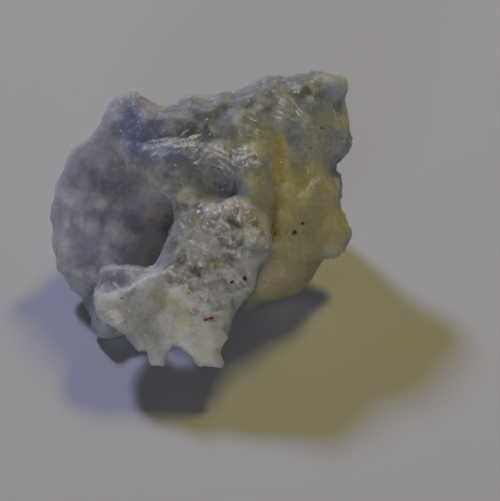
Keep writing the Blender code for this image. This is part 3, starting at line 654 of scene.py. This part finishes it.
TINTS = [
    # The violet hollow, its violet partly painted cool light, its darker rim and white painted light on its
    # bumps
    ("#cccbdb", 0.95, [(-14.0, 5.0, 5.0), (-14.0, 1.0, 4.5), (-12.5, -3.0, 3.0), (-11.0, 1.0, 5.0),
                       (-9.5, 4.5, 3.0), (-13.0, 8.0, 3.6)]),
    ("#9a97ac", 0.70, [(-13.5, 8.6, 3.4), (-11.5, 8.0, 3.0), (-15.5, 6.4, 2.0), (-16.6, 3.4, 1.6),
                       (-10.6, 6.0, 2.6), (-12.6, 6.4, 2.2)]),
    # Painted light: white over the lower bumps, lifting the shade that the stone's own shape gives them
    ("#f6f4fb", 0.75, [(-9.2, -0.4, 2.4), (-8.0, 0.9, 2.0), (-11.2, 1.4, 1.8), (-11.6, -0.7, 1.8)]),
    ("#ffffff", 0.95, [(-9.0, -0.2, 2.2), (-8.2, 0.3, 1.6), (-10.1, 0.9, 1.4)]),
    # Painted highlights: a faint white on each soft bump
    ("#ffffff", 0.12, [(-14.5, 4.7, 0.5), (-12.3, 4.1, 0.8), (-11.0, 3.7, 0.6), (-13.2, 2.1, 0.8),
                       (-10.9, 1.9, 0.7), (-9.6, -0.5, 0.9), (-11.6, -0.9, 0.6), (-13.4, -1.7, 0.7)]),
    # The blue arm, the grey band darkened as painted shade, and painted glints on it as pale spots
    ("#8088b4", 0.75, [(-9.0, 9.4, 3.0), (-6.6, 8.2, 2.2), (-10.0, 11.5, 2.5)]),
    # Painted shade: the band and its top rim darker, for the shade on its side away from the lights
    ("#6b7483", 0.75, [(-7.6, 11.4, 1.4), (-5.3, 10.3, 1.4), (-3.2, 10.2, 1.2), (-8.4, 12.6, 1.8),
                       (-6.4, 12.0, 1.8), (-4.8, 12.3, 2.4), (-3.2, 12.1, 2.0), (-1.7, 12.6, 2.6),
                       (-0.4, 13.0, 2.2), (0.9, 13.4, 2.8), (2.2, 13.6, 2.4), (3.4, 14.0, 3.0),
                       (4.6, 14.4, 2.6), (5.8, 14.4, 2.4), (-10.0, 12.9, 2.0)]),
    # Painted glints: pale spots on the frosted band
    ("#f4f4ee", 0.40, [(-1.1, 11.0, 0.8), (-0.6, 10.5, 0.9), (-3.0, 10.3, 0.7), (2.8, 12.1, 0.8),
                       (3.3, 11.7, 0.8), (5.5, 13.8, 0.8), (5.1, 12.9, 0.7), (0.55, 12.1, 0.7),
                       (2.7, 10.2, 0.7), (4.0, 13.8, 0.7)]),
    # The yellow flank, the blue grey lobe above it, and the flank's brown seam and pale crest
    # Partly painted light: the flank's yellow is its stain and also the warm light glowing through it
    ("#d4cf8e", 0.90, [(5.0, 4.0, 5.0), (4.0, 0.0, 5.0), (2.6, -3.0, 4.0), (7.0, 1.5, 4.0)]),
    ("#cdcfc4", 0.80, [(6.2, 8.8, 3.2)]),
    # Painted shade: the lobe's top is bluer, against the warm light that shines through its thin edge
    ("#b6bfd2", 0.85, [(7.2, 13.4, 2.2), (6.4, 14.4, 1.4), (7.9, 10.4, 1.4), (6.4, 11.2, 2.4),
                       (4.4, 11.4, 2.4), (3.4, 10.6, 1.4)]),
    ("#c8b888", 0.60, [(0.9, 4.6, 1.2), (1.2, 3.2, 1.0), (1.8, -0.6, 1.3), (1.9, -2.8, 1.6)]),
    ("#ffffff", 0.70, [(7.5, 5.8, 0.9)]),
    ("#e6dfae", 0.80, [(7.4, 2.6, 2.4), (6.8, 4.4, 2.0), (7.2, 0.6, 1.8)]),
    ("#b4aa74", 0.70, [(2.4, -3.6, 2.6), (4.4, -2.2, 2.2)]),
    # The pale ridge
    ("#f6f8f4", 0.95, [(-2.2, 2.4, 3.4), (-4.6, 0.2, 3.8), (-1.6, -1.6, 3.6), (0.2, 1.5, 2.8),
                       (-2.6, -3.8, 3.4), (-5.4, -2.4, 2.8)]),
    # Pale yellow beside the seam, and the orange seam itself
    ("#dedaa0", 0.55, [(0.9, 9.2, 2.0), (1.8, 10.0, 1.6), (2.4, 8.2, 1.8), (-0.8, 8.9, 1.4),
                       (0.6, 6.2, 1.6)]),
    ("#dedc84", 0.75, [(2.6, 6.6, 1.4), (3.6, 4.4, 2.4), (2.8, 2.2, 2.3)]),
    ("#ecdf84", 0.70, [(2.7, 9.3, 0.7), (2.8, 8.4, 0.8), (2.7, 7.5, 0.8)]),
    ("#d4c468", 0.70, [(2.4, 9.2, 0.5), (2.45, 8.5, 0.6), (2.5, 7.8, 0.7), (2.4, 7.1, 0.8), (2.4, 6.4, 0.7),
                       (2.4, 5.7, 0.7), (2.4, 5.0, 0.7), (2.4, 4.2, 0.8), (2.4, 3.4, 0.9), (2.3, 2.6, 0.9),
                       (2.2, 1.8, 0.8)]),
    # The pit, painted light to lift its shade, its saddle on the left, and the dark spot deep in the hollow
    ("#f4f4ea", 0.80, [(-5.4, 4.6, 1.2)]),
    ("#a8a9a0", 0.60, [(-2.3, 4.0, 0.7), (-1.6, 4.2, 0.6), (-6.6, 0.2, 0.9)]),
    # Painted light: near white in the pit, standing in for light in its shaded hollow
    ("#fffaf2", 0.95, [(-2.2, 5.2, 1.9), (-3.4, 5.2, 1.4), (-2.8, 4.8, 1.2)]),
    ("#ffe8ce", 0.95, [(-2.6, 6.2, 2.3), (-3.8, 6.2, 1.6), (-1.8, 5.6, 1.8)]),
    ("#f0e8e4", 0.70, [(-8.3, 2.6, 1.8)]),
    # The plate, its grey middle and the dark ledge over it
    ("#f4f4f2", 0.85, [(-6.5, -5.4, 2.8), (-4.5, -7.4, 3.8), (-7.6, -8.6, 2.2)]),
    ("#f8f0dc", 0.60, [(-3.8, -8.0, 2.2)]),
    ("#b4b6b0", 0.90, [(-9.6, -5.2, 2.6), (-11.6, -5.0, 1.8), (-8.6, -7.6, 1.8), (-8.2, -4.4, 1.6)]),
    ("#8b8e92", 0.75, [(-12.3, -2.6, 1.5), (-10.9, -2.3, 1.5), (-11.9, -3.2, 1.0), (-9.4, -1.9, 0.9)]),
    ("#b9bab8", 0.60, [(-9.0, -6.2, 1.6), (-9.2, -4.4, 1.2), (-11.4, -4.6, 1.2)]),
    # White spots, partly white cracks and partly painted highlights, painted shade in grey hollows, and
    # yellow tinges of the ridge
    ("#ffffff", 0.90, [(-4.5, -4.1, 1.3), (-3.8, -4.7, 1.0), (-3.6, -5.4, 0.6), (-2.2, -1.6, 0.9),
                       (-11.4, -5.6, 0.7)]),
    ("#cfd2d2", 0.60, [(-2.2, -4.2, 1.3), (-1.4, -4.1, 1.0)]),
    ("#ffffff", 0.90, [(-3.6, -2.4, 1.8), (-2.4, -2.2, 1.7), (-4.6, -3.2, 1.5), (-1.6, -3.4, 1.2)]),
    # Painted shade: grey in the ridge's hollows and under its crests
    ("#8f8f8c", 0.60, [(-1.9, -0.6, 0.7), (-1.4, -0.65, 0.6), (-5.2, -1.7, 0.7), (-4.4, -1.75, 0.7),
                       (-3.7, -1.8, 0.6), (-1.3, 3.0, 0.9), (-2.9, 2.9, 0.5), (-1.5, 0.5, 0.8),
                       (-0.9, 0.6, 0.6), (-5.8, -0.6, 0.8)]),
    ("#dfdea6", 0.50, [(-7.3, -4.1, 0.8), (-6.4, -4.3, 0.7), (-5.6, -5.9, 1.3), (-0.3, 2.7, 0.9),
                       (0.5, 2.4, 0.9), (0.6, 1.5, 0.8), (-4.7, 3.0, 0.7), (-0.5, -2.9, 0.7),
                       (-3.4, -0.9, 0.8), (-2.6, -1.3, 0.7), (-0.4, 4.2, 0.8), (-4.3, 2.3, 0.4),
                       (-5.3, 1.2, 0.5), (-5.4, -3.2, 0.7)]),
]
SPECKS = [
    # Black grains, green black grains, two rusty ones and the red fibre
    ("#16140f", [(-0.45, -2.35, 0.30), (-1.5, -2.7, 0.22), (-10.9, -4.1, 0.15), (-1.05, 12.15, 0.12)]),
    ("#3a3f26", [(4.45, 2.25, 0.28), (3.8, 1.55, 0.36), (2.15, 1.45, 0.14), (7.8, 9.5, 0.14),
                 (5.2, 8.7, 0.14)]),
    ("#8a5528", [(6.05, 10.4, 0.16), (6.3, 10.4, 0.16)]),
    ("#c8452c", [(-3.8, -5.88, 0.2), (-3.62, -5.82, 0.22), (-3.42, -5.76, 0.22), (-3.22, -5.7, 0.2)]),
]
print(len(TINTS), "tints and", len(SPECKS), "kinds of speck")

# %% Balls of colour
FULL_TINT = 0.35

def in_tint(tree, place, strength, balls):
    """How much of a tint a place has: the strength near the middle of a ball, fading to 0 at its edge."""
    amount = 0.0
    for right, up, radius in balls:
        spot = Vector(seen(right, up))
        reach = add(tree, VECTOR, {0: place, 1: spot}, out="Value", operation="DISTANCE")
        ball = add(tree, RANGE, {0: reach, 1: radius, 2: FULL_TINT * radius, 3: 0.0, 4: strength},
                   interpolation_type="SMOOTHSTEP")
        amount = add(tree, MATH, {0: amount, 1: ball}, operation="MAXIMUM")
    return amount

# %% [markdown]
# ## White marks and painted glints
# Fresh cracks and healed ones scatter all light and look white, and the same white stands in for glints
# too, as painted highlights where small breaks catch the lights. Hairlines run one way in each broken
# spot, so they are noise that is stretched six times along that way. The veins that were raised above are
# broken up by noise, and a few painted sparkles, 0.2 mm wide, sit in the frosted skin. The strongest of
# these marks wins.

# %% Hairlines, veins and painted sparkles
HAIRLINES_PER_MM, THREADS_PER_MM, SPARKLES_PER_MM = 4.6, 3.2, 1.7
RISING_ANGLE, FALLING_ANGLE = 30, -38
STRETCH = (6.0, 1.0, 1.5)

def hairlines(tree, place, angle):
    """Noise that is stretched along one way of the view."""
    turn = math.radians(angle)
    along = RIGHT * math.cos(turn) + UP * math.sin(turn)
    across = UP * math.cos(turn) - RIGHT * math.sin(turn)
    turned = Matrix((along, across, TOWARDS)).transposed().to_euler()
    laid = add(tree, "ShaderNodeMapping", {"Vector": place, "Rotation": turned, "Scale": STRETCH},
               vector_type="TEXTURE")
    lines = add(tree, NOISE, {"Vector": laid, "Scale": HAIRLINES_PER_MM, "Detail": 2.0})
    return add(tree, RANGE, {0: lines, 1: 0.54, 2: 0.7})


def white_marks_and_painted_glints(tree, mm, bent, share):
    """How white each place is: white cracks, and painted highlights for glints."""
    threads = add(tree, NOISE, {"Vector": bent, "Scale": THREADS_PER_MM, "Detail": 3.0})
    threads = add(tree, RANGE, {0: threads, 1: 0.38, 2: 0.62, 3: 0.1, 4: 1.0})
    # Painted sparkle: a few Voronoi cells painted white as tiny glints
    grain = add(tree, VORONOI, {"Vector": mm, "Scale": SPARKLES_PER_MM}, out=None)
    near = add(tree, RANGE, {0: grain["Distance"], 1: 0.17, 2: 0.08})
    chosen = add(tree, RANGE, {0: grain["Color"], 1: 0.6, 2: 0.62})
    bright = add(tree, MATH, {0: near, 1: chosen}, operation="MULTIPLY")
    not_milky = add(tree, RANGE, {0: share["milky"], 1: 0.0, 2: 0.4, 3: 0.8, 4: 0.0})
    white = 0.0
    for mark, where in ((hairlines(tree, bent, RISING_ANGLE), share["rising"]),
                        (hairlines(tree, bent, FALLING_ANGLE), share["falling"]),
                        (threads, share["veins_and_painted_glints"]), (bright, not_milky)):
        mark = add(tree, MATH, {0: mark, 1: where}, operation="MULTIPLY")
        white = add(tree, MATH, {0: white, 1: mark}, operation="MAXIMUM")
    return white

# %% [markdown]
# ## Mottling and painted shade
# Inside a tint the body is still uneven. The ridge is mottled in patches of about a millimetre, low
# places are a little darker as painted shade, the plate has faint paler layers, and a fine salt and pepper
# of 0.3 mm lies over all of it. Each is an amount that mixes one more colour in.

# %% Uneven colour in the body, with painted shade in low places
MOTTLES_PER_MM, LAYERS_PER_MM, SPECKLES_PER_MM = 0.8, 0.55, 2.6

def mottling(tree, mm, share):
    """Amounts and colours to mix in, in order."""
    warped = shifted(tree, mm, fineness=0.8, detail=3.0, reach=3.0)
    mottle = add(tree, NOISE, {"Vector": warped, "Scale": MOTTLES_PER_MM, "Detail": 3.0})
    mottle = add(tree, RANGE, {0: mottle, 1: 0.5, 2: 0.66, 3: 0.0, 4: 0.7})
    mottle = add(tree, MATH, {0: mottle, 1: share["crumpled"]}, operation="MULTIPLY")
    # Painted shade: the low places of the relief are darkened
    painted_crevice_shade = add(tree, RANGE, {0: share["raised"], 1: 0.04, 2: -0.14, 3: 0.0, 4: 0.3})
    layers = add(tree, NOISE, {"Vector": warped, "Scale": LAYERS_PER_MM, "Detail": 4.0})
    layers = add(tree, RANGE, {0: layers, 1: 0.46, 2: 0.62})
    in_plate = add(tree, RANGE, {0: share["milky"], 1: 0.5, 2: 1.0, 3: 0.08, 4: 0.62})
    layers = add(tree, MATH, {0: layers, 1: in_plate}, operation="MULTIPLY")
    speckle = add(tree, NOISE, {"Vector": mm, "Scale": SPECKLES_PER_MM, "Detail": 3.0})
    strength = add(tree, RANGE, {0: share["milky"], 1: 0.0, 2: 1.0, 3: 0.2, 4: 0.14})
    pepper = add(tree, RANGE, {0: speckle, 1: 0.52, 2: 0.38})
    pepper = add(tree, MATH, {0: pepper, 1: strength}, operation="MULTIPLY")
    salt = add(tree, RANGE, {0: speckle, 1: 0.54, 2: 0.68})
    salt = add(tree, MATH, {0: salt, 1: strength}, operation="MULTIPLY")
    return [(mottle, "#a0a196"), (painted_crevice_shade, "#8b8d8c"), (layers, "#c1c2be"),
            (pepper, "#7e8280"), (salt, "#f8f8f2")]

# %% [markdown]
# ## The material
# Broken chalcedony is a waxy to glassy dielectric with an index of refraction of 1.54. Light goes in,
# scatters in the milky body and comes out near by, and a part goes straight through. A volume would be
# truer but slow and noisy, so one Principled shader does it: subsurface for the milk, some transmission
# for the clear part, a low roughness on the fresh breaks and facets, and a waxy one on the frosted skin.

# %% The colour of the body
CLOUDS_PER_MM = 0.35

def body_colour(tree, mm, bent, share, white):
    """Cloudy blue grey, with the tints (some painted light and shade), the mottling, the white marks and
    painted glints, and the specks mixed in, in order.
    """
    frayed = shifted(tree, mm, fineness=3.5, detail=2.0, reach=0.5)
    layers = [(in_tint(tree, bent, strength, balls), code) for code, strength, balls in TINTS]
    layers += mottling(tree, mm, share) + [(white, "#fffffd")]
    layers += [(in_tint(tree, frayed, 1.0, balls), code) for code, balls in SPECKS]
    clouds = add(tree, NOISE, {"Vector": mm, "Scale": CLOUDS_PER_MM, "Detail": 4.0})
    clouds = add(tree, RANGE, {0: clouds, 1: 0.35, 2: 0.65})
    colour = add(tree, MIX, {0: clouds, 6: linear("#a0a7b0"), 7: linear("#bbc1c8")}, out=2, data_type="RGBA")
    for amount, code in layers:
        colour = add(tree, MIX, {0: amount, 6: colour, 7: linear(code)}, out=2, data_type="RGBA")
    return colour

# %% Its clear part and its fine grit
GRIT_PER_MM = 4.0

def clearness(tree, share, white):
    """How much light goes straight through: most at the ridge, less in the milky plate and at white marks."""
    clear = add(tree, RANGE, {0: share["milky"], 1: 0.0, 2: 1.0, 3: 0.5, 4: 0.3})
    clear = add(tree, MATH, {0: share["crumpled"], 1: 0.12, 2: clear}, operation="MULTIPLY_ADD")
    not_white = add(tree, RANGE, {0: white, 1: 0.0, 2: 1.0, 3: 1.0, 4: 0.3})
    return add(tree, MATH, {0: clear, 1: not_white}, operation="MULTIPLY")


def fine_bumps(tree, mm, white):
    """Grit of a quarter of a millimetre, with the white marks raised on it."""
    grit = add(tree, NOISE, {"Vector": mm, "Scale": GRIT_PER_MM, "Detail": 3.0})
    gritty = add(tree, "ShaderNodeBump", {"Height": grit, "Strength": 0.7, "Distance": 0.07 * MM})
    return add(tree, "ShaderNodeBump",
               {"Height": white, "Strength": 1.0, "Distance": 0.15 * MM, "Normal": gritty})

# %% Broken chalcedony
WAXY, GLASSY = 0.52, 0.27

def broken_chalcedony():
    material = bpy.data.materials.new("broken_chalcedony")
    material.use_nodes = True
    tree = material.node_tree
    shader = tree.nodes["Principled BSDF"].inputs
    coords = add(tree, "ShaderNodeTexCoord", out="Object")
    mm = add(tree, VECTOR, {0: coords, "Scale": 1 / MM}, operation="SCALE")
    bent = shifted(tree, mm, fineness=0.8, detail=3.0, reach=0.9)
    share = {name: add(tree, "ShaderNodeAttribute", out="Fac", attribute_name=name)
             for name in ("crumpled", "milky", "raised", "rising", "falling", "veins_and_painted_glints", "flashing")}
    white = white_marks_and_painted_glints(tree, mm, bent, share)
    glossy = add(tree, MATH, {0: share["crumpled"], 1: share["flashing"]}, operation="MAXIMUM")
    roughness = add(tree, RANGE, {0: glossy, 1: 0.0, 2: 1.0, 3: WAXY, 4: GLASSY})
    tree.links.new(body_colour(tree, mm, bent, share, white), shader["Base Color"])
    tree.links.new(roughness, shader["Roughness"])
    tree.links.new(clearness(tree, share, white), shader["Transmission Weight"])
    tree.links.new(fine_bumps(tree, mm, white), shader["Normal"])
    shader["IOR"].default_value = 1.54
    shader["Subsurface Weight"].default_value = 1.0
    shader["Subsurface Radius"].default_value = (1.0, 0.95, 0.9)
    shader["Subsurface Scale"].default_value = 5 * MM
    shader["Subsurface Anisotropy"].default_value = 0.8
    return material


stone_material = broken_chalcedony()
print("nodes in the material:", len(stone_material.node_tree.nodes))

# %% [markdown]
# ## The finished stone
# The tree runs on the stone as a modifier, and its result is kept as a plain mesh. The mesh goes back
# from millimetres to metres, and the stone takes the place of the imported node.

# %% Carve the fine surface
def run_tree(piece, tree, **values):
    """Gives the piece the mesh that the tree makes. Values are the tree's inputs, by name."""
    modifier = piece.modifiers.new(tree.name, "NODES")
    modifier.node_group = tree
    for item in tree.interface.items_tree:
        if item.in_out == "INPUT" and item.name in values:
            modifier[item.identifier] = values[item.name]
    graph = bpy.context.evaluated_depsgraph_get()
    mesh = bpy.data.meshes.new_from_object(piece.evaluated_get(graph))
    piece.modifiers.clear()
    piece.data = mesh


run_tree(stone, relief_tree(), Material=stone_material)
stone.data.transform(Matrix.Scale(MM, 4))
stone.data.shade_smooth()
print("carved:", len(stone.data.polygons), "faces")
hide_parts("chalcedony")
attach(stone, "root")

# %% [markdown]
# ## The floor
# The stone lies on plain pale paper. A plane is enough, because the paper's fibres are too fine to matter
# here.

# %% Pale paper
FLOOR_SIZE = 2.0

def pale_paper():
    material = bpy.data.materials.new("pale_paper")
    material.use_nodes = True
    shader = material.node_tree.nodes["Principled BSDF"]
    shader.inputs["Base Color"].default_value = linear("#acafbf")
    shader.inputs["Roughness"].default_value = 0.85
    return material


bpy.ops.mesh.primitive_plane_add(size=FLOOR_SIZE)
floor = bpy.context.object
floor.name = "floor"
floor.data.materials.append(pale_paper())

# %% [markdown]
# ## The light
# In the photograph two soft lights stand behind the stone, a cool one on the left and a warm one on the
# right, so its thin edges glow and each light's shadow has the other one's colour. A weak light above and
# a soft one from the front keep the near side out of the dark. A picture of a room could light it too,
# but wouldn't give the two clear shadows.

# %% Lights: a name, a way, a size in metres, a power in watts and a colour
LIGHT_DISTANCE = 0.60
STONE_MIDDLE = Vector((0, 0, 0.006))
LIGHTS = [
    ("cool_light", COOL_WAY, 0.08, 2.28, "#dcd5ff"),
    ("warm_light", WARM_WAY, 0.12, 1.63, "#fff082"),
    ("top_light", way_to(10, 68), 0.50, 0.10, "#f6f0e8"),
    ("front_fill", way_to(-162, 14), 0.19, 1.26, "#f4efe6"),
]

for name, way, size, power, code in LIGHTS:
    lamp = bpy.data.lights.new(name, "AREA")
    lamp.shape = "DISK"
    lamp.size = size
    lamp.energy = power
    lamp.color = linear(code)[:3]
    light = bpy.data.objects.new(name, lamp)
    light.location = STONE_MIDDLE + way * LIGHT_DISTANCE
    light.rotation_euler = way.to_track_quat("Z", "Y").to_euler()
    bpy.context.scene.collection.objects.link(light)
print("lights, watts:", round(sum(light[3] for light in LIGHTS), 2))

# %% The room's own dim light
world = bpy.data.worlds.new("soft_room")
world.use_nodes = True
world.node_tree.nodes["Background"].inputs["Color"].default_value = linear("#eee2d4")
world.node_tree.nodes["Background"].inputs["Strength"].default_value = 0.03
bpy.context.scene.world = world
